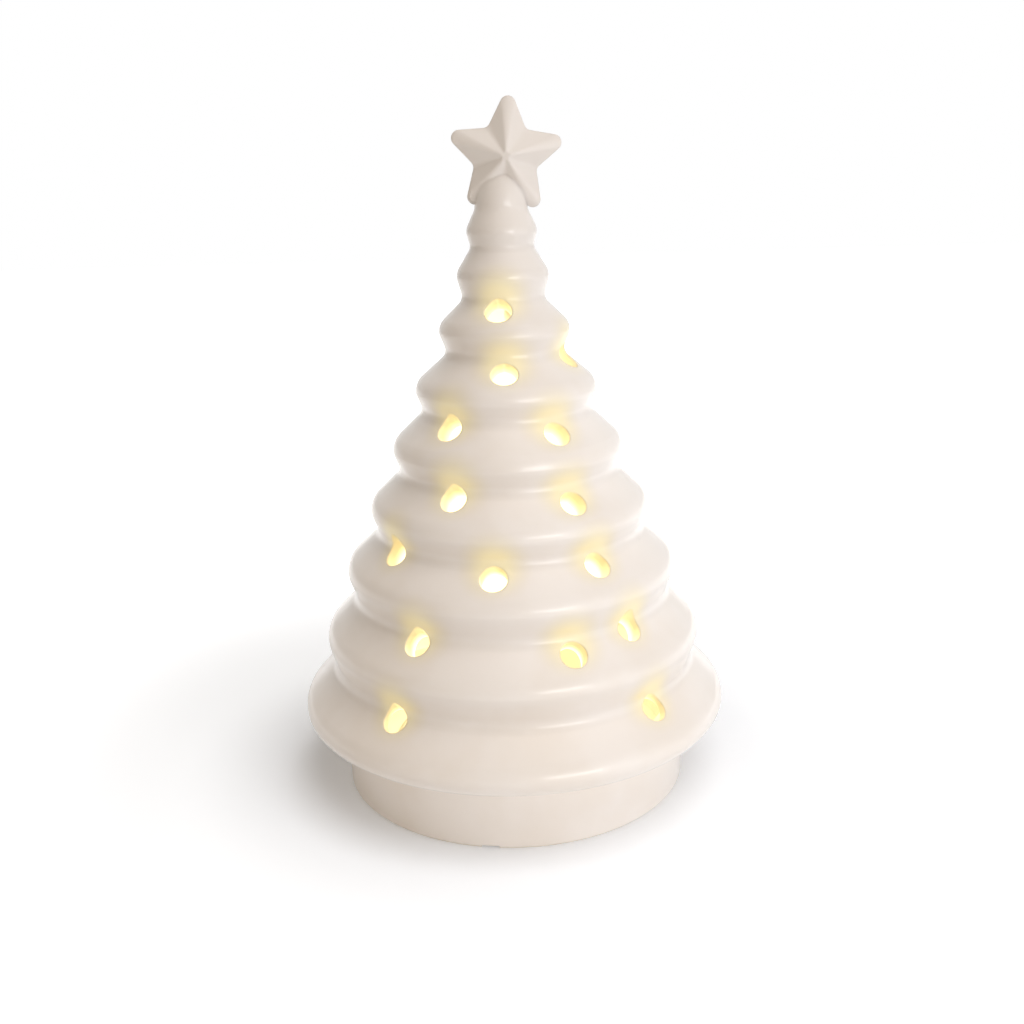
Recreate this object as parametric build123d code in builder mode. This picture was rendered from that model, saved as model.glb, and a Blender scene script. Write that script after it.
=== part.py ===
"""Ceramic tree with a battery light unit in its foot.

Millimetres, +Z up, origin at the centre of the foot ring on the table. The star faces -Y.
"""

import os
from math import asin, atan2, cos, hypot, pi, radians, sin, tan

from build123d import *

# Ceramic tree: rolled tiers stacked on a drum foot, cast in one piece with the star
wall = 5.0
foot_chamfer = 0.6
skirt_slope = 12.5
skirt_round = 4.8
neck_radius = 8.9
neck_rise = 8.3
dome_rise = 14.5
dome_cap_radius = 3.5
lowest_crest = (77.0, 30.6)
# crest radius, rise over the crest below, and how far below and inside the crest the groove under it lies
upper_tiers = [
    (67.5, 25.2, 9.0, 2.4),
    (58.8, 24.3, 8.2, 2.4),
    (49.3, 22.0, 6.6, 2.0),
    (40.4, 21.1, 6.2, 1.9),
    (31.5, 20.6, 5.8, 1.8),
    (22.6, 20.3, 6.2, 1.9),
    (15.7, 18.3, 6.4, 1.4),
    (11.9, 14.6, 4.4, 1.0),
]
# rounding at the lower and upper end of a wave, as shares of the largest pair that leaves no straight run
slope_rounds = (0.44, 0.28)
underside_rounds = (0.25, 0.4)

# Star: it stands a little off the axis and leans to the right
star_tip_radius = 22.6
star_notch_radius = 10.8
star_tip_round = 2.6
star_notch_round = 2.4
star_edge = 4.0
star_ridge = 8.5
star_peak_share = 0.1
star_rise = 1.3
star_shift = 2.0
star_lean = 4.0

# Light holes: turn from the front in degrees, and drop below the groove over them
hole_diameter = 9.2
hole_tilt = 45.0
hole_rows = [
    [(-36.4, 3.0), (43.7, 3.9), (128, 3.6), (-124, 4.6)],
    [(-32.8, 3.3), (19, 6.0), (42.4, 2.4), (122, 5.2), (-118, 3.8)],
    [(-53, 2.2), (-6.5, 5.5), (34.7, 4.7), (104, 3.2), (-160, 4.4)],
    [(-26.9, 3.6), (29.7, 6.4), (136, 4.0), (-112, 4.6)],
    [(-37.4, 3.5), (29.7, 5.7), (112, 4.2), (-148, 3.6)],
    [(-1, 6.4), (72, 3.2), (-124, 4.8)],
    [(-6.5, 4.3), (158, 4.2)],
]

# Foot ring, its recess and the opening for the light unit
foot_ring_width = 6.0
flange_gap = 7.1
recess_depth = 5.0
floor_thickness = 5.0
opening_radius = 44.0
vent_turn = -8.6
vent_width = 6.0
vent_height = 0.9

# Rubber grommet
grommet_thickness = 1.8
gasket_thickness = 1.0
grommet_lip = 1.6
lip_height = 2.6
grommet_fit = 0.05

# Light unit housing
flange_overlap = 5.5
flange_thickness = 2.4
spigot_wall = 2.0
cell_diameter = 10.5
cell_length = 44.5
cell_spacing = 0.9
cell_nub_radius = 1.9
cell_nub_length = 0.8
cell_gap = 0.4
cell_side_gap = 0.95
contact_space = 3.95
box_wall = 1.8
roof_thickness = 1.6
switch_bay_length = 15.6
switch_bay_width = 24.0
boss_radius = 3.6
boss_offset = 4.0

# Battery door
door_clearance = 0.3
hook_spacing = 20.0
hook_width = 5.0
hook_reach = 1.8
hook_thickness = 1.2
latch_width = 8.0
latch_bite = 0.3
hook_gap = 0.2
grip_radius = 6.0
grip_depth = 1.2
door_rib_width = 1.0
door_rib_height = 0.3

# Slide switch
switch_length = 12.0
switch_width = 6.0
switch_height = 5.0
switch_travel = 4.0
stem_length = 3.0
stem_width = 2.6
stem_rise = 2.6
slot_clearance = 0.2
knob_length = 5.0
knob_width = 6.0
knob_proud = 0.6
knob_groove = 0.4
knob_grooves = 3
knob_recess = 1.2
lug_size = 1.4
lug_thickness = 0.6
lug_height = 2.0
lug_spacing = 5.0

# Contacts, board, lights and lid
strip = 0.5
contact_width = 8.0
tail_width = 2.4
tail_over = 0.8
board_thickness = 1.6
board_clearance = 0.7
led_length = 3.5
led_width = 2.8
led_height = 1.0
led_circle = 6.0
led_count = 4
chip_length = 5.0
chip_width = 4.0
chip_height = 1.5
chip_offset = 11.0
lid_cavity = 5.8
lid_thickness = 1.8
window = 21.0
lens_lap = 1.8
lens_rebate = 1.0
lens_thickness = 1.4
fit_clearance = 0.2
post_size = 3.0
ear_radius = 4.0
ear_thickness = 2.4
screw_radius = 1.2
screw_length = 11.0
screw_head_radius = 2.5
screw_head_height = 1.8
thread_clearance = 0.05
screw_clearance = 0.3
ribbon_thickness = 1.0
ribbon_bend = 3.0
ribbon_crossing = 2.6
ribbon_landing = 14.0

# Heights and half sizes that follow from the values above
floor_top = recess_depth + floor_thickness
flange_top = recess_depth - gasket_thickness
flange_bottom = flange_top - flange_thickness
grommet_bore = opening_radius - grommet_thickness
spigot_radius = grommet_bore - grommet_fit
spigot_top = floor_top + lip_height
flange_radius = opening_radius + flange_overlap
foot_bore = flange_radius + flange_gap
foot_radius = foot_bore + foot_ring_width
cell_pitch = cell_diameter + cell_spacing
bay_x = cell_pitch + cell_diameter / 2 + cell_side_gap
bay_y = cell_length / 2 + contact_space
box_x = bay_x + box_wall
box_y = bay_y + box_wall
cell_axis = flange_top + cell_gap + cell_diameter / 2
roof_under = cell_axis + cell_diameter / 2 + cell_gap
roof_top = roof_under + roof_thickness
board_top = roof_top + board_thickness
lid_under = roof_top + lid_cavity
lid_top = lid_under + lid_thickness
switch_x = box_x + switch_bay_length / 2 - box_wall / 2
boss_y = box_y + boss_offset
hinge_y = -bay_y + door_clearance / 2
knob_rest = -switch_travel / 2

crests = [lowest_crest]
grooves = []
for crest_radius, rise, drop, inset in upper_tiers:
    crest_height = crests[-1][1] + rise
    crests.append((crest_radius, crest_height))
    grooves.append((crest_radius - inset, crest_height - drop))
neck_height = crests[-1][1] + neck_rise
dome_height = neck_height + dome_rise
grooves.append((neck_radius, neck_height))


def wave(lower, upper, rounds):
    """Draws an arc that leaves the lower point upright, a straight run, and an arc that ends upright."""
    lean = lower[0] - upper[0]
    rise = upper[1] - lower[1]
    side = 1 if lean > 0 else -1
    largest = (lean**2 + rise**2) / (2 * abs(lean))
    low_round = rounds[0] * largest
    high_round = rounds[1] * largest
    both = low_round + high_round
    turn = atan2(rise, both - abs(lean)) + asin(both / hypot(rise, both - abs(lean))) - pi / 2

    def low_point(angle):
        return (lower[0] - side * low_round * (1 - cos(angle)), lower[1] + low_round * sin(angle))

    def high_point(angle):
        return (upper[0] + side * high_round * (1 - cos(angle)), upper[1] - high_round * sin(angle))

    ThreePointArc(lower, low_point(turn / 2), low_point(turn))
    Line(low_point(turn), high_point(turn))
    ThreePointArc(high_point(turn), high_point(turn / 2), upper)


# Skirt: a nearly flat underside that runs out from the foot into the lowest crest's rounding
skirt_turn = radians(skirt_slope - 90)


def skirt_point(angle):
    return (crests[0][0] - skirt_round * (1 - cos(angle)), crests[0][1] + skirt_round * sin(angle))


foot_height = skirt_point(skirt_turn)[1] - (skirt_point(skirt_turn)[0] - foot_radius) * tan(radians(skirt_slope))

# Dome: an arc that leaves the neck upright and runs into a small round cap
cap_rise = dome_height - neck_height - dome_cap_radius
dome_radius = (neck_radius**2 + cap_rise**2 - dome_cap_radius**2) / (2 * (neck_radius - dome_cap_radius))
dome_turn = atan2(cap_rise, dome_radius - neck_radius)


def dome_point(angle):
    return (neck_radius - dome_radius * (1 - cos(angle)), neck_height + dome_radius * sin(angle))


def cap_point(angle):
    return (dome_cap_radius * cos(angle), dome_height - dome_cap_radius * (1 - sin(angle)))


def hole_plane(groove, turn, drop):
    """A light hole's plane: its origin lies in the wall below the groove, and its normal points out and up."""
    out = Vector(sin(radians(turn)), -cos(radians(turn)), 0)
    normal = out * cos(radians(hole_tilt)) + Vector(0, 0, sin(radians(hole_tilt)))
    mouth = out * (groove[0] + drop / 2) + Vector(0, 0, groove[1] - drop)
    return Plane(origin=mouth - normal * 2 * wall, z_dir=normal)


star_centre = dome_height + star_rise


def star_sketch(depth, share):
    """A five-pointed outline with rounded tips and notches, on an upright plane that far towards the front."""
    radii = (star_tip_radius * share, star_notch_radius * share)
    corners = [(radii[i % 2] * sin(i * pi / 5), radii[i % 2] * cos(i * pi / 5)) for i in range(10)]
    middle = (star_shift, -depth, star_centre)
    level = (cos(radians(star_lean)), 0, -sin(radians(star_lean)))
    with BuildSketch(Plane(origin=middle, x_dir=level, z_dir=(0, -1, 0))) as star:
        with BuildLine():
            Polyline(*corners, close=True)
        make_face()
        fillet(star.vertices().sort_by_distance((0, 0, 0))[:5], star_notch_round * share)
        fillet(star.vertices().sort_by_distance((0, 0, 0))[-5:], star_tip_round * share)
    return star.sketch


with BuildPart() as ceramic_tree:
    # outside: foot, skirt underside, tiers and dome, turned about the axis
    with BuildSketch(Plane.XZ):
        with BuildLine():
            Polyline((0, 0), (foot_radius, 0), (foot_radius, foot_height), skirt_point(skirt_turn))
            ThreePointArc(skirt_point(skirt_turn), skirt_point(skirt_turn / 2), crests[0])
            for tier, crest in enumerate(crests):
                wave(crest, grooves[tier], slope_rounds)
                if tier + 1 < len(crests):
                    wave(grooves[tier], crests[tier + 1], underside_rounds)
            ThreePointArc((neck_radius, neck_height), dome_point(dome_turn / 2), dome_point(dome_turn))
            ThreePointArc(dome_point(dome_turn), cap_point((dome_turn + pi / 2) / 2), (0, dome_height))
            Line((0, dome_height), (0, 0))
        make_face()
    revolve(axis=Axis.Z)
    # star: a slab with a ridged pyramid on its front and back
    extrude(star_sketch(-star_edge / 2, 1), amount=star_edge)
    for side in (1, -1):
        loft([star_sketch(side * star_edge / 2, 1), star_sketch(side * star_ridge, star_peak_share)], ruled=True)
    # hollow: follows the tiers, one wall inside them
    with BuildSketch(Plane.XZ):
        with BuildLine():
            skirt = (crests[0][0] - wall, crests[0][1] + wall / 2)
            inside = [(0, floor_top), (foot_bore, floor_top), (foot_bore, foot_height + wall), skirt]
            inside += [(radius - wall, height) for radius, height in (grooves[0], grooves[-4], grooves[-3])]
            inside.append((0, grooves[-2][1]))
            Polyline(*inside, close=True)
        make_face()
    revolve(axis=Axis.Z, mode=Mode.SUBTRACT)
    # foot: recess, opening, edge and the vent notch in the ring
    with BuildSketch(Plane.XY):
        Circle(foot_bore)
    extrude(amount=recess_depth, mode=Mode.SUBTRACT)
    with BuildSketch(Plane.XY):
        Circle(opening_radius)
    extrude(amount=floor_top, mode=Mode.SUBTRACT)
    chamfer(ceramic_tree.edges().group_by(Axis.Z)[0].sort_by(SortBy.LENGTH)[-1], foot_chamfer)
    with BuildSketch(Plane.XY):
        with PolarLocations(foot_radius - foot_ring_width / 2, 1, start_angle=vent_turn - 90):
            Rectangle(3 * foot_ring_width, vent_width)
    extrude(amount=vent_height, mode=Mode.SUBTRACT)
    # light holes, drilled square to the slopes
    for groove, row in zip(grooves, hole_rows):
        for turn, drop in row:
            with BuildSketch(hole_plane(groove, turn, drop)):
                Circle(hole_diameter / 2)
    extrude(amount=4 * wall, mode=Mode.SUBTRACT)
ceramic_tree.part.label = "ceramic_tree"

with BuildPart() as rubber_grommet:
    with BuildSketch(Plane.XZ):
        with BuildLine():
            Polyline(
                (grommet_bore, flange_top),
                (flange_radius, flange_top),
                (flange_radius, recess_depth),
                (opening_radius, recess_depth),
                (opening_radius, floor_top),
                (opening_radius + grommet_lip, floor_top),
                (grommet_bore + grommet_thickness / 2, spigot_top),
                (grommet_bore, spigot_top),
                close=True,
            )
        make_face()
    revolve(axis=Axis.Z)
rubber_grommet.part.label = "rubber_grommet"


def box_outline(inset):
    """The battery box and the switch bay beside it, as one outline drawn in by that much."""
    Rectangle(2 * (box_x - inset), 2 * (box_y - inset))
    reach = box_x + switch_bay_length - inset
    with Locations((reach / 2, 0)):
        Rectangle(reach, switch_bay_width - 2 * inset)


with BuildPart() as light_housing:
    with BuildSketch(Plane.XY.offset(flange_bottom)):
        Circle(flange_radius)
    extrude(amount=flange_thickness)
    with BuildSketch(Plane.XY.offset(flange_top)):
        Circle(spigot_radius)
        Circle(spigot_radius - spigot_wall, mode=Mode.SUBTRACT)
    extrude(amount=spigot_top - flange_top)
    with BuildSketch(Plane.XY.offset(flange_top)):
        box_outline(0)
        with Locations((0, boss_y), (0, -boss_y)):
            Circle(boss_radius)
            Rectangle(2 * boss_radius, 2 * boss_offset)
        Circle(spigot_radius, mode=Mode.INTERSECT)
    extrude(amount=roof_top - flange_top)
    # battery bay, open through the flange, and the switch bay, open at the top
    with BuildSketch(Plane.XY.offset(flange_bottom)):
        Rectangle(2 * bay_x, 2 * bay_y)
    extrude(amount=roof_under - flange_bottom, mode=Mode.SUBTRACT)
    with BuildSketch(Plane.XY.offset(flange_top)):
        with Locations((switch_x, 0)):
            Rectangle(switch_bay_length - box_wall, switch_bay_width - 2 * box_wall)
        Circle(spigot_radius - spigot_wall, mode=Mode.INTERSECT)
    extrude(amount=roof_top - flange_top, mode=Mode.SUBTRACT)
    # slots for the door's hooks and latch in the end walls
    with BuildSketch(Plane.XY.offset(flange_top)):
        with GridLocations(hook_spacing, 0, 2, 1):
            with Locations((0, -bay_y)):
                Rectangle(hook_width + 2 * door_clearance, 2 * (hook_reach + 2 * door_clearance))
        with Locations((0, bay_y)):
            Rectangle(latch_width + 2 * door_clearance, 2 * (latch_bite + 2 * door_clearance))
    extrude(amount=2 * hook_thickness + hook_gap, mode=Mode.SUBTRACT)
    # slots for the two end contacts' tails, through the roof
    with BuildSketch(Plane.XY.offset(roof_under)):
        with Locations((-cell_pitch, bay_y - strip / 2), (cell_pitch, -bay_y + strip / 2)):
            Rectangle(tail_width + 2 * fit_clearance, strip + 2 * fit_clearance)
    extrude(amount=roof_thickness, mode=Mode.SUBTRACT)
    # finger notch beside the latch
    with BuildSketch(Plane.XY.offset(flange_bottom)):
        with Locations((0, bay_y)):
            Circle(grip_radius)
    extrude(amount=grip_depth, mode=Mode.SUBTRACT)
    # recess for the switch knob, and the slot that its stem slides in
    with BuildSketch(Plane.XY.offset(flange_bottom)):
        with Locations((switch_x, 0)):
            Rectangle(knob_width + 4 * slot_clearance, knob_length + switch_travel + 4 * slot_clearance)
    extrude(amount=knob_recess, mode=Mode.SUBTRACT)
    with BuildSketch(Plane.XY.offset(flange_bottom)):
        with Locations((switch_x, 0)):
            Rectangle(stem_width + 2 * slot_clearance, stem_length + switch_travel + 2 * slot_clearance)
    extrude(amount=flange_thickness, mode=Mode.SUBTRACT)
    # pilot holes for the lid screws
    with BuildSketch(Plane.XY.offset(roof_top)):
        with Locations((0, boss_y), (0, -boss_y)):
            Circle(screw_radius + thread_clearance)
    extrude(amount=-screw_length, mode=Mode.SUBTRACT)
light_housing.part.label = "light_housing"

with BuildPart() as battery_door:
    with BuildSketch(Plane.XY.offset(flange_bottom)):
        Rectangle(2 * (bay_x - door_clearance), 2 * (bay_y - door_clearance))
        with Locations((0, bay_y)):
            Circle(grip_radius + door_clearance, mode=Mode.SUBTRACT)
    extrude(amount=grip_depth)
    with BuildSketch(Plane.XY.offset(flange_bottom + grip_depth)):
        Rectangle(2 * (bay_x - door_clearance), 2 * (bay_y - door_clearance))
    extrude(amount=flange_thickness - grip_depth)
    # hooks at the back end and the latch at the front end, on feet that stand on the door
    hook_foot = 2 * hook_thickness
    with BuildSketch(Plane.XY.offset(flange_top)):
        with GridLocations(hook_spacing, 0, 2, 1):
            with Locations((0, -bay_y + door_clearance + hook_foot / 2)):
                Rectangle(hook_width, hook_foot)
        with Locations((0, bay_y - door_clearance - strip)):
            Rectangle(latch_width, 2 * strip)
    extrude(amount=hook_thickness + hook_gap)
    with BuildSketch(Plane.XY.offset(flange_top + hook_gap)):
        with GridLocations(hook_spacing, 0, 2, 1):
            with Locations((0, -bay_y - hook_reach / 2 + hook_foot / 2)):
                Rectangle(hook_width, hook_reach + hook_foot)
        with Locations((0, bay_y - strip + latch_bite / 2)):
            Rectangle(latch_width, 2 * strip + latch_bite)
    extrude(amount=hook_thickness)
    # ribs that hold the cells, between their round sides
    with BuildSketch(Plane.XY.offset(flange_top)):
        with GridLocations(cell_pitch, 0, 2, 1):
            Rectangle(door_rib_width, cell_length / 2)
    extrude(amount=cell_gap + door_rib_height)
battery_door.part.label = "battery_door"


def cell(number):
    """A small round cell on its side, turned end for end from its neighbour."""
    heading = 1 if number % 2 == 0 else -1
    tail_end = Vector((number - 1) * cell_pitch, -heading * cell_length / 2, cell_axis)
    with BuildPart() as battery:
        with BuildSketch(Plane(origin=tail_end, x_dir=(1, 0, 0), z_dir=(0, heading, 0))):
            Circle(cell_diameter / 2)
        extrude(amount=cell_length - cell_nub_length)
        with BuildSketch(Plane(origin=tail_end, x_dir=(1, 0, 0), z_dir=(0, heading, 0))):
            Circle(cell_nub_radius)
        extrude(amount=cell_length)
    battery.part.label = f"battery_{number + 1}"
    return battery.part


def contact(name, end, columns, tail):
    """A stamped contact on an end wall: a plate with a sprung tongue for each cell, and a tail to solder."""
    low = flange_top + 2 * hook_thickness + 2 * hook_gap
    high = roof_under - fit_clearance
    centre = sum(columns) / len(columns) * cell_pitch
    across = (max(columns) - min(columns)) * cell_pitch + contact_width
    face = Plane(origin=(0, end * bay_y, 0), x_dir=(0, -end, 0), z_dir=(-end, 0, 0))
    reach = contact_space - strip
    with BuildPart() as stamping:
        with BuildSketch(face.offset(-end * centre)):
            with Locations((strip / 2, (low + high) / 2)):
                Rectangle(strip, high - low)
        extrude(amount=across / 2, both=True)
        for column in columns:
            with BuildSketch(face.offset(-end * column * cell_pitch)):
                with BuildLine():
                    Polyline(
                        (0, low),
                        (strip, low),
                        (contact_space, cell_axis),
                        (reach / 2, high - strip),
                        (reach / 2 - strip, high - strip),
                        (reach, cell_axis),
                        (strip, low + 2 * strip),
                        (0, low + 2 * strip),
                        close=True,
                    )
                make_face()
            extrude(amount=contact_width / 2, both=True)
        if tail:
            with BuildSketch(face.offset(-end * centre)):
                with Locations((strip / 2, (high + board_top + tail_over) / 2)):
                    Rectangle(strip, board_top + tail_over - high)
            extrude(amount=tail_width / 2, both=True)
    stamping.part.label = name
    return stamping.part


with BuildPart() as circuit_board:
    with BuildSketch(Plane.XY.offset(roof_top)):
        Rectangle(2 * (bay_x - board_clearance), 2 * (bay_y - board_clearance))
    extrude(amount=board_thickness)
circuit_board.part.label = "circuit_board"

with BuildPart() as led_chips:
    with BuildSketch(Plane.XY.offset(board_top)):
        with PolarLocations(led_circle, led_count, start_angle=180 / led_count):
            Rectangle(led_length, led_width)
    extrude(amount=led_height, taper=10)
led_chips.part.label = "led_chips"

with BuildPart() as timer_chip:
    with BuildSketch(Plane.XY.offset(board_top)):
        with Locations((-chip_offset, 0)):
            Rectangle(chip_width, chip_length)
    extrude(amount=chip_height)
timer_chip.part.label = "timer_chip"

with BuildPart() as light_lid:
    with BuildSketch(Plane.XY.offset(roof_top)):
        box_outline(0)
    extrude(amount=lid_top - roof_top)
    with BuildSketch(Plane.XY.offset(roof_top)):
        box_outline(box_wall)
    extrude(amount=lid_cavity, mode=Mode.SUBTRACT)
    # posts that press the board down on the roof
    with BuildSketch(Plane.XY.offset(board_top)):
        with GridLocations(2 * bay_x - post_size, 2 * bay_y - 4 * post_size, 2, 2):
            Rectangle(post_size, post_size)
    extrude(amount=lid_under - board_top)
    # window with a rebate for the lens
    with BuildSketch(Plane.XY.offset(lid_under)):
        Rectangle(window, window)
    extrude(amount=lid_thickness, mode=Mode.SUBTRACT)
    with BuildSketch(Plane.XY.offset(lid_top - lens_rebate)):
        Rectangle(window + 2 * lens_lap, window + 2 * lens_lap)
    extrude(amount=lens_rebate, mode=Mode.SUBTRACT)
    # ears with screw holes over the housing's bosses
    with BuildSketch(Plane.XY.offset(roof_top)):
        for side in (1, -1):
            with Locations((0, side * boss_y)):
                Circle(ear_radius)
            with Locations((0, side * (box_y + boss_offset / 2))):
                Rectangle(2 * ear_radius, boss_offset)
        with Locations((0, boss_y), (0, -boss_y)):
            Circle(screw_radius + screw_clearance, mode=Mode.SUBTRACT)
    extrude(amount=ear_thickness)
light_lid.part.label = "light_lid"

with BuildPart() as light_lens:
    with BuildSketch(Plane.XY.offset(lid_top - lens_rebate)):
        lens_size = window + 2 * lens_lap - 2 * fit_clearance
        RectangleRounded(lens_size, lens_size, lens_lap)
    extrude(amount=lens_thickness)
light_lens.part.label = "light_lens"

with BuildPart() as lid_screws:
    with BuildSketch(Plane.XY.offset(roof_top + ear_thickness)):
        with Locations((0, boss_y), (0, -boss_y)):
            Circle(screw_head_radius)
    extrude(amount=screw_head_height)
    with BuildSketch(Plane.XY.offset(roof_top + ear_thickness)):
        with Locations((0, boss_y), (0, -boss_y)):
            Circle(screw_radius)
    extrude(amount=-screw_length)
lid_screws.part.label = "lid_screws"

with BuildPart() as switch_body:
    with BuildSketch(Plane.XY.offset(flange_top)):
        with Locations((switch_x, 0)):
            Rectangle(switch_width, switch_length)
    extrude(amount=switch_height)
    with BuildSketch(Plane.XY.offset(flange_top)):
        with Locations((switch_x, 0)):
            Rectangle(stem_width + 2 * slot_clearance, stem_length + switch_travel + 2 * slot_clearance)
    extrude(amount=stem_rise + slot_clearance, mode=Mode.SUBTRACT)
    with BuildSketch(Plane.XY.offset(flange_top + switch_height)):
        with Locations((switch_x, 0)):
            with GridLocations(0, lug_spacing, 1, 2):
                Rectangle(lug_thickness, lug_size)
    extrude(amount=lug_height)
switch_body.part.label = "switch_body"

with BuildPart() as switch_slider:
    knob_top = flange_bottom + knob_recess - slot_clearance
    with BuildSketch(Plane.XY.offset(flange_bottom - knob_proud)):
        with Locations((switch_x, knob_rest)):
            Rectangle(knob_width, knob_length)
    extrude(amount=knob_top - flange_bottom + knob_proud)
    with BuildSketch(Plane.XY.offset(flange_bottom - knob_proud)):
        with Locations((switch_x, knob_rest)):
            with GridLocations(0, knob_length / (knob_grooves + 1), 1, knob_grooves):
                Rectangle(knob_width, knob_groove)
    extrude(amount=knob_groove, mode=Mode.SUBTRACT)
    with BuildSketch(Plane.XY.offset(knob_top)):
        with Locations((switch_x, knob_rest)):
            Rectangle(stem_width, stem_length)
    extrude(amount=flange_top + stem_rise - knob_top)
switch_slider.part.label = "switch_slider"

with BuildPart() as switch_ribbon:
    # flat two-core lead from the switch lugs, up and over the battery box to the board
    lugs = Vector(switch_x, 0, flange_top + switch_height + lug_height)
    crossing = board_top + ribbon_crossing
    with BuildLine() as route:
        FilletPolyline(
            lugs,
            (switch_x, 0, crossing),
            (ribbon_landing, 0, crossing),
            (ribbon_landing, 0, board_top),
            radius=[ribbon_bend, ribbon_crossing - ribbon_thickness],
        )
    with BuildSketch(Plane(origin=lugs, x_dir=(1, 0, 0), z_dir=(0, 0, 1))):
        Rectangle(ribbon_thickness, lug_spacing + lug_size)
    sweep(path=route.wires()[0])
switch_ribbon.part.label = "switch_ribbon"

finished = [
    ceramic_tree.part,
    rubber_grommet.part,
    light_housing.part,
    battery_door.part,
    cell(0),
    cell(1),
    cell(2),
    contact("contact_positive", 1, [-1], True),
    contact("contact_negative", -1, [1], True),
    contact("cell_link_rear", 1, [0, 1], False),
    contact("cell_link_front", -1, [-1, 0], False),
    circuit_board.part,
    led_chips.part,
    timer_chip.part,
    light_lid.part,
    light_lens.part,
    lid_screws.part,
    switch_body.part,
    switch_slider.part,
    switch_ribbon.part,
]
os.makedirs("parts", exist_ok=True)
for piece in finished:
    export_step(piece, f"parts/{piece.label}.step")
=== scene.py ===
from math import cos, radians, sin

import bpy
from mathutils import Matrix, Vector

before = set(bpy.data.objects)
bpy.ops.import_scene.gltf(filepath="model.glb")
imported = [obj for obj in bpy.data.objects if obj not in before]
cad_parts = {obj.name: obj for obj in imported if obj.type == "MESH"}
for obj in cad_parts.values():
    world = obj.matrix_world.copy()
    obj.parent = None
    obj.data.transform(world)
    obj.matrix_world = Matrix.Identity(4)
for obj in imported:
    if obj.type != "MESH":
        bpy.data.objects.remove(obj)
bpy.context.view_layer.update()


# Ceramic tree: one slip casting with its star, dipped in a clear-coated warm white glaze and fired.
# The glaze's tone drifts at random between thin and pooled, and the light holes were cut in the soft clay, so
# their lips are round.
# Towards the top the glaze colour darkens: painted shade, where less light falls. The foot ring is wiped bare.
# The unit in the foot lights it inside; that lit inside and the light spilling around the holes are painted as
# emission and colour.
GLAZE_THIN = (0.86, 0.8, 0.745, 1.0)
GLAZE_POOLED = (0.83, 0.76, 0.69, 1.0)
# painted shade: the glaze's colour towards the top, darker where less light falls
GLAZE_PAINTED_TOP_SHADE = (0.76, 0.7, 0.645, 1.0)
PAINTED_TOP_SHADE_FROM = (0.13, 0.205)
BARE_CLAY = (0.74, 0.66, 0.56, 1.0)
WIPED = (0.0003, 0.0008)
COAT = 0.6
LIP_ROUND = 0.0011
CREASE_ROUND = 0.0035
CREASE_PLACE = (0.0, 0.0, 0.203)
CREASE_SPAN = (0.011, 0.0145)
# painted light: the glow of the lit inner wall and bores
PAINTED_INNER_GLOW = (1.0, 0.885, 0.5, 1.0)
HOLLOW_RADIUS = 60.1
HOLLOW_BASE = 46.8
HOLLOW_TAPER = 0.39964
SPILL_LIFT = 4.2
SPILL_REACH = (0.003, 0.014)
# painted light: the warm tint and faint glow of the light spilling around each hole's mouth
PAINTED_SPILL_TINT = (0.83, 0.72, 0.43, 1.0)
PAINTED_SPILL_SHARE = 0.7
LIP_FALL = 2.5
PAINTED_SPILL_GLOW = (0.075, 0.066, 0.022, 1.0)
# light holes by ring: the groove's radius and height in mm, then each hole's turn from the front and drop
HOLE_ROWS = (
    (65.1, 46.8, ((-36.4, 3.0), (43.7, 3.9), (128, 3.6), (-124, 4.6))),
    (56.4, 71.9, ((-32.8, 3.3), (19, 6.0), (42.4, 2.4), (122, 5.2), (-118, 3.8))),
    (47.3, 95.5, ((-53, 2.2), (-6.5, 5.5), (34.7, 4.7), (104, 3.2), (-160, 4.4))),
    (38.5, 117.0, ((-26.9, 3.6), (29.7, 6.4), (136, 4.0), (-112, 4.6))),
    (29.7, 138.0, ((-37.4, 3.5), (29.7, 5.7), (112, 4.2), (-148, 3.6))),
    (20.7, 157.9, ((-1, 6.4), (72, 3.2), (-124, 4.8))),
    (14.3, 176.0, ((-6.5, 4.3), (158, 4.2))),
)


def shader_group(name, inputs, outputs):
    """A shader node group with those sockets, and its two end nodes."""
    group = bpy.data.node_groups.new(name, "ShaderNodeTree")
    for direction, sockets in (("INPUT", inputs), ("OUTPUT", outputs)):
        for label, kind in sockets:
            group.interface.new_socket(label, in_out=direction, socket_type="NodeSocket" + kind)
    return group, group.nodes.new("NodeGroupInput"), group.nodes.new("NodeGroupOutput")


def math_node(tree, operation, first, second=None, third=None):
    """A Math node fed by sockets or numbers; returns its output socket."""
    node = tree.nodes.new("ShaderNodeMath")
    node.operation = operation
    for socket, value in zip(node.inputs, (first, second, third)):
        if isinstance(value, bpy.types.NodeSocket):
            tree.links.new(value, socket)
        elif value is not None:
            socket.default_value = value
    return node.outputs[0]


def mixed(tree, share, first, second):
    """A colour between two, by a mask; returns its output socket."""
    node = tree.nodes.new("ShaderNodeMix")
    node.data_type = "RGBA"
    tree.links.new(share, node.inputs["Factor"])
    for socket, value in ((node.inputs[6], first), (node.inputs[7], second)):
        if isinstance(value, bpy.types.NodeSocket):
            tree.links.new(value, socket)
        else:
            socket.default_value = value
    return node.outputs[2]


def remapped(tree, value, low, high, to_low=0.0, to_high=1.0):
    """A value carried smoothly from one range to another; returns its output socket."""
    node = tree.nodes.new("ShaderNodeMapRange")
    node.interpolation_type = "SMOOTHSTEP"
    tree.links.new(value, node.inputs["Value"])
    labels = ("From Min", "From Max", "To Min", "To Max")
    for label, number in zip(labels, (low, high, to_low, to_high)):
        node.inputs[label].default_value = number
    return node.outputs["Result"]


def noise(tree, vector, scale, detail=2.0, roughness=0.5):
    """A noise texture of that scale; returns its value socket."""
    node = tree.nodes.new("ShaderNodeTexNoise")
    node.inputs["Scale"].default_value = scale
    node.inputs["Detail"].default_value = detail
    node.inputs["Roughness"].default_value = roughness
    tree.links.new(vector, node.inputs["Vector"])
    return node.outputs["Fac"]


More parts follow.
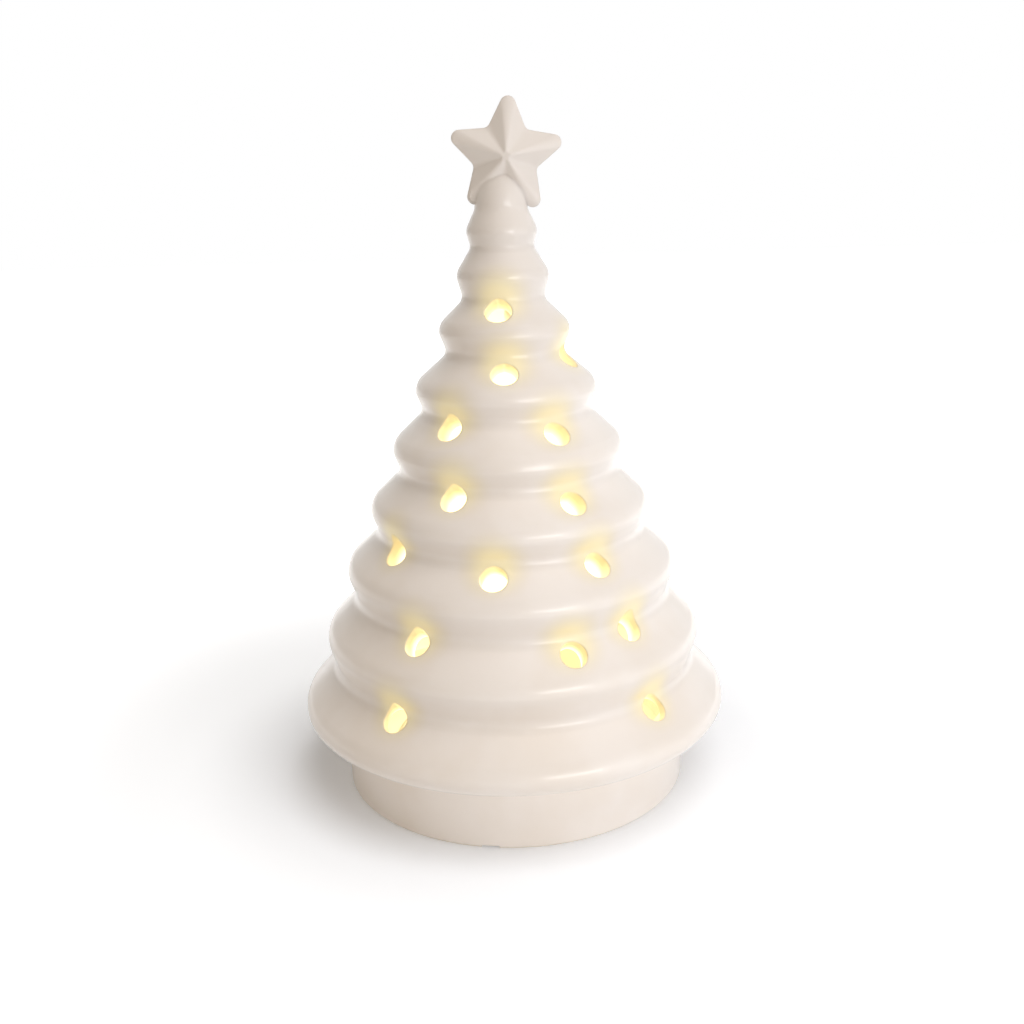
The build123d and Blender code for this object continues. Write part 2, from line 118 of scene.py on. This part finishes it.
# drift: slow and fine variation that every finish here uses, at its own scales
drift, drift_in, drift_out = shader_group(
    "finish_drift",
    [("Position", "Vector"), ("Slow scale", "Float"), ("Fine scale", "Float")],
    [("Slow", "Float"), ("Fine", "Float")],
)
for label, detail in (("Slow", 3.0), ("Fine", 4.0)):
    texture = drift.nodes.new("ShaderNodeTexNoise")
    texture.inputs["Detail"].default_value = detail
    drift.links.new(drift_in.outputs["Position"], texture.inputs["Vector"])
    drift.links.new(drift_in.outputs[label + " scale"], texture.inputs["Scale"])
    drift.links.new(texture.outputs["Fac"], drift_out.inputs[label])

# glow: how deep a point lies behind the tree's outside, from none at the glaze to full on the inner wall,
# dimmer higher up; it masks the painted light of the lit inside
glow, glow_in, glow_out = shader_group("painted_hollow_glow", [("Position", "Vector")], [("Depth", "Float")])
split = glow.nodes.new("ShaderNodeSeparateXYZ")
glow.links.new(glow_in.outputs["Position"], split.inputs[0])
across = math_node(glow, "MULTIPLY", split.outputs["X"], split.outputs["X"])
across = math_node(glow, "MULTIPLY_ADD", split.outputs["Y"], split.outputs["Y"], across)
across = math_node(glow, "MULTIPLY", math_node(glow, "SQRT", across), 1000.0)
height = math_node(glow, "MULTIPLY_ADD", split.outputs["Z"], 1000.0, -HOLLOW_BASE)
inner = math_node(glow, "MULTIPLY_ADD", height, -HOLLOW_TAPER, HOLLOW_RADIUS)
depth = math_node(glow, "SUBTRACT", inner, across)
in_hollow = remapped(glow, height, -16.0, -12.0)
lit = math_node(glow, "MULTIPLY", remapped(glow, depth, -4.0, 1.0), in_hollow)
# painted light falls off: the inner glow is dimmer higher up
lit = math_node(glow, "MULTIPLY", lit, remapped(glow, height, -10.0, 110.0, 1.0, 0.5))
glow.links.new(lit, glow_out.inputs["Depth"])

# spill: how near a point lies to the mouth of a light hole; it masks a painted pool of warm light spilling from
# the hole onto the glaze
spill, spill_in, spill_out = shader_group("painted_hole_spill", [("Position", "Vector")], [("Near", "Float")])
nearest = None
for groove_radius, groove_height, holes in HOLE_ROWS:
    for turn, drop in holes:
        out = groove_radius + drop / 4
        mouth = (out * sin(radians(turn)), -out * cos(radians(turn)), groove_height - drop + SPILL_LIFT)
        gap = spill.nodes.new("ShaderNodeVectorMath")
        gap.operation = "DISTANCE"
        gap.inputs[1].default_value = [side / 1000.0 for side in mouth]
        spill.links.new(spill_in.outputs["Position"], gap.inputs[0])
        reach = gap.outputs["Value"]
        nearest = reach if nearest is None else math_node(spill, "MINIMUM", nearest, reach)
spill.links.new(remapped(spill, nearest, *SPILL_REACH, 1.0, 0.0), spill_out.inputs["Near"])


def finish(name, slow_scale, fine_scale):
    """A new node material: its tree and shader, the place on the object, and the slow and fine masks there."""
    material = bpy.data.materials.new(name)
    material.use_nodes = True
    tree = material.node_tree
    shader = tree.nodes["Principled BSDF"]
    place = tree.nodes.new("ShaderNodeTexCoord")
    vary = tree.nodes.new("ShaderNodeGroup")
    vary.node_tree = drift
    vary.inputs["Slow scale"].default_value = slow_scale
    vary.inputs["Fine scale"].default_value = fine_scale
    tree.links.new(place.outputs["Object"], vary.inputs["Position"])
    return material, tree, shader, place.outputs["Object"], vary.outputs["Slow"], vary.outputs["Fine"]


def painted(tree, shader, share, first, second):
    """Joins a colour between two, by a mask, to the shader's base colour."""
    tree.links.new(mixed(tree, share, first, second), shader.inputs["Base Color"])


def roughened(tree, shader, mask, low, high):
    """Joins a roughness between two, by a noise mask, to the shader."""
    tree.links.new(remapped(tree, mask, 0.3, 0.7, low, high), shader.inputs["Roughness"])


def bumped(tree, shader, height, distance, strength, under=None):
    """Joins a height to the shader's normal, over another normal if one is given."""
    bump = tree.nodes.new("ShaderNodeBump")
    bump.inputs["Distance"].default_value = distance
    bump.inputs["Strength"].default_value = strength
    tree.links.new(height, bump.inputs["Height"])
    if under is not None:
        tree.links.new(under, bump.inputs["Normal"])
    tree.links.new(bump.outputs["Normal"], shader.inputs["Normal"])


def dress(material, *nodes):
    """Puts a finish on CAD nodes."""
    for name in nodes:
        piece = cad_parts[name]
        if not piece.material_slots:
            piece.data.materials.append(material)
        for place in piece.material_slots:
            place.material = material


glaze, tree, shader, position, slow, fine = finish("white_glaze", 34.0, 420.0)
shader.inputs["IOR"].default_value = 1.5
shader.inputs["Coat Roughness"].default_value = 0.09
beside = tree.nodes.new("ShaderNodeGroup")
beside.node_tree = spill
tree.links.new(position, beside.inputs["Position"])
coat = mixed(tree, remapped(tree, slow, 0.38, 0.66), GLAZE_THIN, GLAZE_POOLED)
upright = tree.nodes.new("ShaderNodeSeparateXYZ")
tree.links.new(position, upright.inputs[0])
# Painted shade: the glaze colour darkens towards the top of the tree, where less light falls.
coat = mixed(tree, remapped(tree, upright.outputs["Z"], *PAINTED_TOP_SHADE_FROM), coat, GLAZE_PAINTED_TOP_SHADE)
# Painted light: near each hole's mouth the glaze colour turns warm yellow, a painted pool of the light spilling
# from the hole.
painted_spill_warmth = math_node(tree, "MULTIPLY", beside.outputs["Near"], PAINTED_SPILL_SHARE)
coat = mixed(tree, painted_spill_warmth, coat, PAINTED_SPILL_TINT)
bare = remapped(tree, upright.outputs["Z"], *WIPED, 1.0, 0.0)
painted(tree, shader, bare, coat, BARE_CLAY)
smooth = remapped(tree, fine, 0.3, 0.7, 0.3, 0.36)
tree.links.new(math_node(tree, "MULTIPLY_ADD", bare, 0.5, smooth), shader.inputs["Roughness"])
tree.links.new(math_node(tree, "MULTIPLY_ADD", bare, -COAT, COAT), shader.inputs["Coat Weight"])
lips = tree.nodes.new("ShaderNodeBevel")
lips.samples = 8
melted = tree.nodes.new("ShaderNodeVectorMath")
melted.operation = "DISTANCE"
melted.inputs[1].default_value = CREASE_PLACE
tree.links.new(position, melted.inputs[0])
softness = remapped(tree, melted.outputs["Value"], *CREASE_SPAN, CREASE_ROUND, LIP_ROUND)
tree.links.new(softness, lips.inputs["Radius"])
bumped(tree, shader, noise(tree, position, 60.0), 0.0006, 0.12, lips.outputs["Normal"])
inside = tree.nodes.new("ShaderNodeGroup")
inside.node_tree = glow
tree.links.new(position, inside.inputs["Position"])
# Painted light: a faint halo of emission around each hole's mouth, for the light spilling out there.
painted_lip_light = math_node(tree, "POWER", beside.outputs["Near"], LIP_FALL)
painted_halo = mixed(tree, painted_lip_light, (0.0, 0.0, 0.0, 1.0), PAINTED_SPILL_GLOW)
# Painted light: the inside wall and the bores glow by emission, for the light of the unit in the foot; the
# painted halo lies over the glaze.
tree.links.new(mixed(tree, inside.outputs["Depth"], painted_halo, PAINTED_INNER_GLOW), shader.inputs["Emission Color"])
shader.inputs["Emission Strength"].default_value = 1.75
dress(glaze, "ceramic_tree")


# Grommet: a pale moulded rubber ring, pushed into the opening of the foot; it grips the light unit.
# Dull, with the fine tooth of a rubber mould and a little chalky bloom.
rubber, tree, shader, position, slow, fine = finish("grommet_rubber", 60.0, 1800.0)
painted(tree, shader, slow, (0.5, 0.49, 0.47, 1.0), (0.6, 0.59, 0.56, 1.0))
roughened(tree, shader, fine, 0.62, 0.8)
bumped(tree, shader, fine, 0.0002, 0.4)
dress(rubber, "rubber_grommet")


# Light unit's mouldings: housing, door and lid, injection moulded in off-white plastic.
# Their faces have the fine even spark texture of the mould, slightly polished where they are handled.
moulded, tree, shader, position, slow, fine = finish("housing_plastic", 45.0, 2600.0)
painted(tree, shader, slow, (0.76, 0.75, 0.71, 1.0), (0.82, 0.81, 0.775, 1.0))
roughened(tree, shader, slow, 0.38, 0.5)
bumped(tree, shader, fine, 0.00015, 0.35)
dress(moulded, "light_housing", "battery_door", "light_lid")


# Cells: steel cans in a shrunk plastic jacket, plain dark with a copper-coloured band at the raised end.
# Neighbours lie end for end, so the band is at the rear on two and at the front on the middle one.
CELL_REACH = 0.02225
BAND_FROM = (0.5, 0.51)
END_FROM = 0.955
for way, cells in ((1.0, ("battery_1", "battery_3")), (-1.0, ("battery_2",))):
    jacket, tree, shader, position, slow, fine = finish("cell_jacket", 70.0, 900.0)
    along = tree.nodes.new("ShaderNodeSeparateXYZ")
    tree.links.new(position, along.inputs[0])
    run = math_node(tree, "MULTIPLY", along.outputs["Y"], way / CELL_REACH)
    dark = mixed(tree, slow, (0.018, 0.019, 0.022, 1.0), (0.03, 0.031, 0.036, 1.0))
    banded = mixed(tree, remapped(tree, run, *BAND_FROM), dark, (0.5, 0.23, 0.1, 1.0))
    ends = math_node(tree, "GREATER_THAN", math_node(tree, "ABSOLUTE", run), END_FROM)
    painted(tree, shader, ends, banded, (0.62, 0.61, 0.59, 1.0))
    tree.links.new(ends, shader.inputs["Metallic"])
    roughened(tree, shader, fine, 0.24, 0.36)
    dress(jacket, *cells)


# Contacts: stamped from nickel-plated spring strip, so they carry fine lines from the rolling.
nickel, tree, shader, position, slow, fine = finish("contact_metal", 120.0, 900.0)
stretch = tree.nodes.new("ShaderNodeMapping")
stretch.inputs["Scale"].default_value = (1.0, 1.0, 30.0)
tree.links.new(position, stretch.inputs["Vector"])
lines = noise(tree, stretch.outputs["Vector"], 160.0)
shader.inputs["Metallic"].default_value = 1.0
painted(tree, shader, lines, (0.6, 0.58, 0.54, 1.0), (0.72, 0.7, 0.66, 1.0))
roughened(tree, shader, lines, 0.22, 0.38)
dress(nickel, "contact_positive", "contact_negative", "cell_link_rear", "cell_link_front")


# Board: green solder resist over copper, which shows through as slightly lighter and raised tracks.
resist, tree, shader, position, slow, fine = finish("board", 90.0, 1500.0)
pads = tree.nodes.new("ShaderNodeTexVoronoi")
pads.feature = "DISTANCE_TO_EDGE"
pads.inputs["Scale"].default_value = 190.0
tree.links.new(position, pads.inputs["Vector"])
tracks = remapped(tree, pads.outputs["Distance"], 0.06, 0.1, 1.0, 0.0)
painted(tree, shader, tracks, (0.012, 0.09, 0.035, 1.0), (0.03, 0.2, 0.075, 1.0))
roughened(tree, shader, slow, 0.3, 0.42)
bumped(tree, shader, tracks, 0.0001, 0.5)
dress(resist, "circuit_board")


# Light chips: small white packages, filled with yellow phosphor that glows warm white.
phosphor, tree, shader, position, slow, fine = finish("warm_light", 400.0, 3000.0)
painted(tree, shader, fine, (0.9, 0.62, 0.12, 1.0), (0.95, 0.74, 0.25, 1.0))
lit = mixed(tree, slow, (1.0, 0.74, 0.34, 1.0), (1.0, 0.82, 0.45, 1.0))
tree.links.new(lit, shader.inputs["Emission Color"])
shader.inputs["Emission Strength"].default_value = 12.0
dress(phosphor, "led_chips")


# Lens: a frosted plastic plate set in the lid's window; it spreads the chips' light up into the tree.
frosted, tree, shader, position, slow, fine = finish("frosted_lens", 160.0, 2200.0)
painted(tree, shader, slow, (0.9, 0.86, 0.74, 1.0), (0.95, 0.92, 0.82, 1.0))
# Painted light: the lens's glow is emission, in place of the chips' light passing through it.
lit = mixed(tree, slow, (1.0, 0.76, 0.36, 1.0), (1.0, 0.82, 0.45, 1.0))
tree.links.new(lit, shader.inputs["Emission Color"])
roughened(tree, shader, fine, 0.5, 0.65)
shader.inputs["Emission Strength"].default_value = 4.0
bumped(tree, shader, fine, 0.0001, 0.5)
dress(frosted, "light_lens")


# Screws and the switch's frame: bright plated steel, finely marked by turning and stamping.
plated, tree, shader, position, slow, fine = finish("screw_steel", 200.0, 1600.0)
shader.inputs["Metallic"].default_value = 1.0
painted(tree, shader, slow, (0.56, 0.56, 0.55, 1.0), (0.66, 0.66, 0.65, 1.0))
roughened(tree, shader, fine, 0.25, 0.4)
bumped(tree, shader, fine, 0.00005, 0.4)
dress(plated, "lid_screws", "switch_body")


# Timer chip and switch slider: black moulded plastic with a fine matt tooth.
black, tree, shader, position, slow, fine = finish("black_plastic", 150.0, 3200.0)
painted(tree, shader, slow, (0.012, 0.012, 0.013, 1.0), (0.022, 0.022, 0.023, 1.0))
roughened(tree, shader, fine, 0.45, 0.62)
bumped(tree, shader, fine, 0.0001, 0.5)
dress(black, "timer_chip", "switch_slider")


# Switch lead: a flat lead of two cores side by side, one red and one black, in soft glossy plastic.
lead, tree, shader, position, slow, fine = finish("lead_plastic", 120.0, 1400.0)
sides = tree.nodes.new("ShaderNodeSeparateXYZ")
tree.links.new(position, sides.inputs[0])
red = mixed(tree, slow, (0.42, 0.02, 0.015, 1.0), (0.52, 0.035, 0.025, 1.0))
halves = remapped(tree, sides.outputs["Y"], -0.0001, 0.0001)
painted(tree, shader, halves, red, (0.02, 0.02, 0.022, 1.0))
roughened(tree, shader, fine, 0.3, 0.42)
web = remapped(tree, math_node(tree, "ABSOLUTE", sides.outputs["Y"]), 0.0, 0.0008)
bumped(tree, shader, web, 0.0004, 0.6)
dress(lead, "switch_ribbon")


# Studio: a white floor, a wide soft box low on the right, a larger one overhead, a weak warm one on the left,
# and a narrow strip beside the camera that only the shine of the glaze shows. The floor is white to the camera
# and to reflections, more so away from the tree, keeps its shadow, and gives a little light back to the foot.
FLOOR_REACH = 3.0
AMBIENT = 0.2
FLOOR_LIFT = 0.12
FLOOR_NEAR = 0.4
FLOOR_POOL = 0.2
POOL_PLACE = (0.09, -0.08, 0.0)
POOL_SPAN = (0.06, 0.32)
SHADE_PLACE = (-0.006, 0.008, 0.0)
SHADE_SPAN = (0.06, 0.125)
WHITE_SPAN = (0.12, 0.35)
AMBIENT_TINT = (1.0, 0.89, 0.76, 1.0)
LAMPS_AIM = Vector((0.0, 0.0, 0.1))
CAMERA_PLACE = (0.0, -0.39747, 0.2132)
CAMERA_TILT = radians(73.9)
CAMERA_ROLL = radians(-1.58)

bpy.ops.mesh.primitive_plane_add(size=2 * FLOOR_REACH, location=(0.0, 0.0, 0.0))
floor = bpy.context.object
floor.name = "studio_floor"
paper = bpy.data.materials.new("studio_paper")
paper.use_nodes = True
tree = paper.node_tree
shader = tree.nodes["Principled BSDF"]
shader.inputs["Base Color"].default_value = (0.87, 0.9, 0.945, 1.0)
shader.inputs["Roughness"].default_value = 0.9
shader.inputs["Specular IOR Level"].default_value = 0.0
place = tree.nodes.new("ShaderNodeTexCoord")
away = tree.nodes.new("ShaderNodeVectorMath")
away.operation = "DISTANCE"
away.inputs[1].default_value = SHADE_PLACE
tree.links.new(place.outputs["Object"], away.inputs[0])
rays = tree.nodes.new("ShaderNodeLightPath")
seen = math_node(tree, "MAXIMUM", rays.outputs["Is Camera Ray"], rays.outputs["Is Glossy Ray"])
seen = math_node(tree, "MAXIMUM", seen, rays.outputs["Is Transmission Ray"])
near = remapped(tree, away.outputs["Value"], *SHADE_SPAN, FLOOR_LIFT, FLOOR_NEAR)
far = remapped(tree, away.outputs["Value"], *WHITE_SPAN, 0.0, 1.0 - FLOOR_NEAR)
lift = math_node(tree, "ADD", near, far)
pooled = tree.nodes.new("ShaderNodeVectorMath")
pooled.operation = "DISTANCE"
pooled.inputs[1].default_value = POOL_PLACE
tree.links.new(place.outputs["Object"], pooled.inputs[0])
pool = remapped(tree, pooled.outputs["Value"], *POOL_SPAN, FLOOR_POOL, 0.0)
lift = math_node(tree, "MULTIPLY", seen, math_node(tree, "SUBTRACT", lift, pool))
lift = math_node(tree, "ADD", lift, pool)
shader.inputs["Emission Color"].default_value = (1.0, 1.0, 1.0, 1.0)
tree.links.new(lift, shader.inputs["Emission Strength"])
floor.data.materials.append(paper)

world = bpy.data.worlds.new("studio_world")
bpy.context.scene.world = world
world.use_nodes = True
tree = world.node_tree
backdrop = tree.nodes["Background"]
rays = tree.nodes.new("ShaderNodeLightPath")
seen = math_node(tree, "MAXIMUM", rays.outputs["Is Camera Ray"], rays.outputs["Is Glossy Ray"])
seen = math_node(tree, "MAXIMUM", seen, rays.outputs["Is Transmission Ray"])
tree.links.new(mixed(tree, seen, AMBIENT_TINT, (1.0, 1.0, 1.0, 1.0)), backdrop.inputs["Color"])
tree.links.new(remapped(tree, seen, 0.0, 1.0, AMBIENT, 1.0), backdrop.inputs["Strength"])

for name, place, width, height, power, tint in (
    ("key", (1.0, -0.85, 0.34), 1.2, 0.7, 8.8, (0.99, 0.985, 1.0)),
    ("top", (0.5, -0.6, 2.4), 1.6, 1.6, 28.0, (1.0, 0.985, 0.98)),
    ("fill", (-0.9, -0.8, 0.25), 0.9, 0.6, 1.8, (1.0, 0.74, 0.42)),
    ("sheen", (0.62, -1.17, 0.3), 0.7, 0.26, 2.6, (1.0, 0.99, 0.98)),
):
    lamp = bpy.data.lights.new(name, "AREA")
    lamp.shape = "RECTANGLE"
    lamp.size = width
    lamp.size_y = height
    lamp.energy = power
    lamp.color = tint
    softbox = bpy.data.objects.new(name, lamp)
    softbox.location = place
    softbox.visible_glossy = name == "sheen"
    softbox.visible_diffuse = name != "sheen"
    softbox.rotation_euler = (LAMPS_AIM - Vector(place)).to_track_quat("-Z", "Y").to_euler()
    bpy.context.collection.objects.link(softbox)

lens = bpy.data.cameras.new("photo_camera")
lens.sensor_width = 36.0
lens.lens = 40.28
lens.shift_x = 0.0026
camera = bpy.data.objects.new("photo_camera", lens)
turned = Matrix.Rotation(CAMERA_TILT, 4, "X") @ Matrix.Rotation(CAMERA_ROLL, 4, "Z")
camera.matrix_world = Matrix.Translation(CAMERA_PLACE) @ turned
bpy.context.collection.objects.link(camera)
bpy.context.scene.camera = camera
bpy.context.scene.view_settings.view_transform = "Standard"
